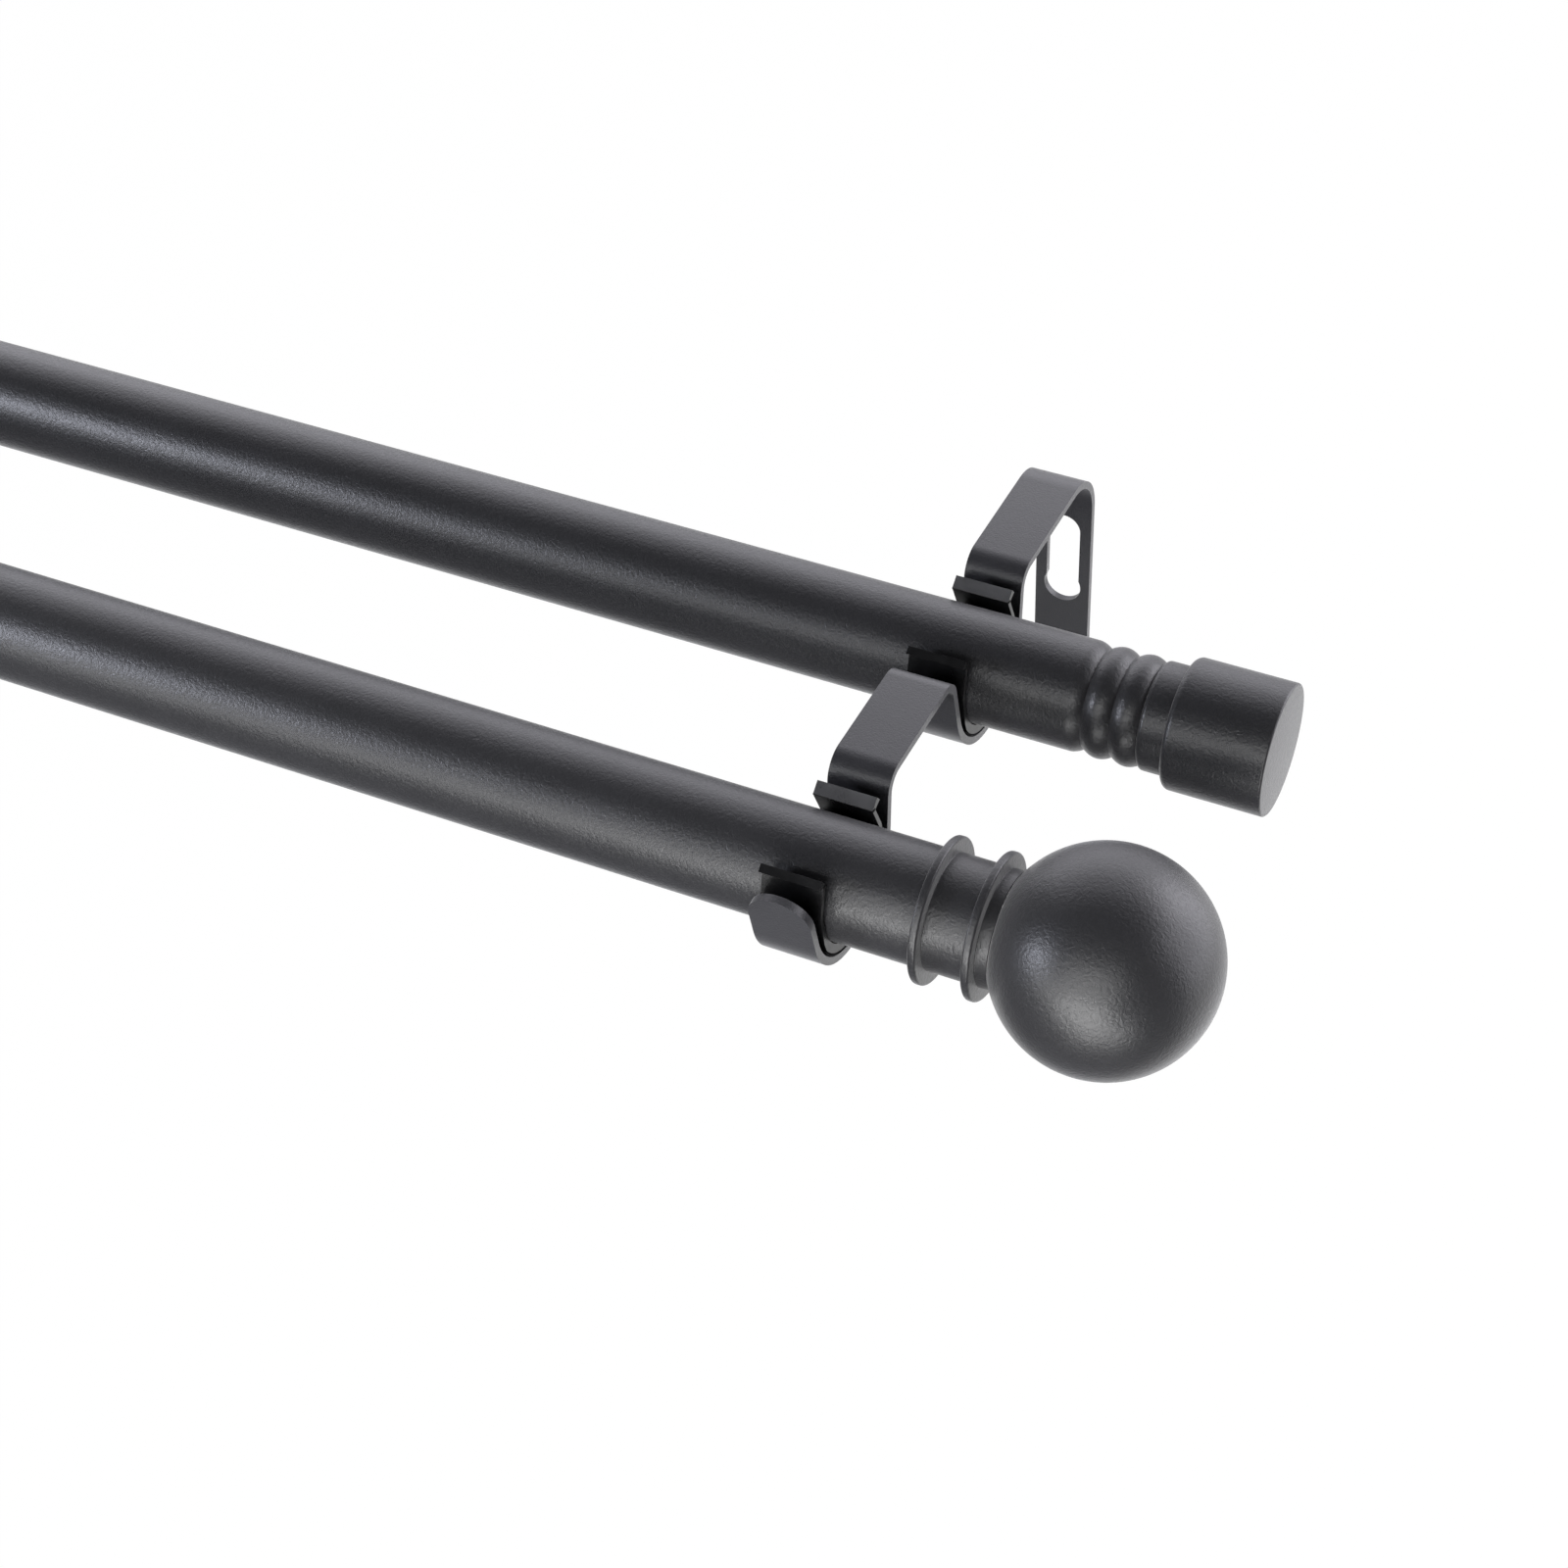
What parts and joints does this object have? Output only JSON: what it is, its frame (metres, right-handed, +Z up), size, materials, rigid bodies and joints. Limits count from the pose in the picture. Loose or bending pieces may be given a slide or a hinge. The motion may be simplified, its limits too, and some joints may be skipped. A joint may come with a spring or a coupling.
{
  "type": "double curtain pole",
  "caption": "Double curtain pole: round poles in folded strip wall brackets with black snap-in clips, ball finials in front and ribbed end caps behind.",
  "frame": {"origin": "on the wall face, midway between the two brackets and level with the middle of their fixing slots", "axes": "+X along the poles, towards the end the picture shows; +Y into the wall; +Z up"},
  "size_m": [1.3404, 0.1787, 0.0753],
  "materials": {
    "pole_coat": "charcoal powder coat with a fine orange-peel texture, satin",
    "finial_coat": "charcoal powder coat with a fine orange-peel texture, satin",
    "bracket_coat": "charcoal powder coat with a fine grain, satin",
    "clip_plastic": "smooth moulded black plastic",
    "stud_steel": "plain steel"
  },
  "bodies": {
    "root": {"rear_pole": "pole_coat", "front_pole": "pole_coat", "bracket_right": "bracket_coat", "rear_clip_right": "clip_plastic", "front_clip_right": "clip_plastic", "front_neck_right": "finial_coat", "ball_right": "finial_coat", "ball_stud_right": "stud_steel", "rear_neck_right": "finial_coat", "end_cap_right": "finial_coat", "cap_stud_right": "stud_steel", "bracket_left": "bracket_coat", "rear_clip_left": "clip_plastic", "front_clip_left": "clip_plastic", "front_neck_left": "finial_coat", "ball_left": "finial_coat", "ball_stud_left": "stud_steel", "rear_neck_left": "finial_coat", "end_cap_left": "finial_coat", "cap_stud_left": "stud_steel"}
  },
  "joints": []
}
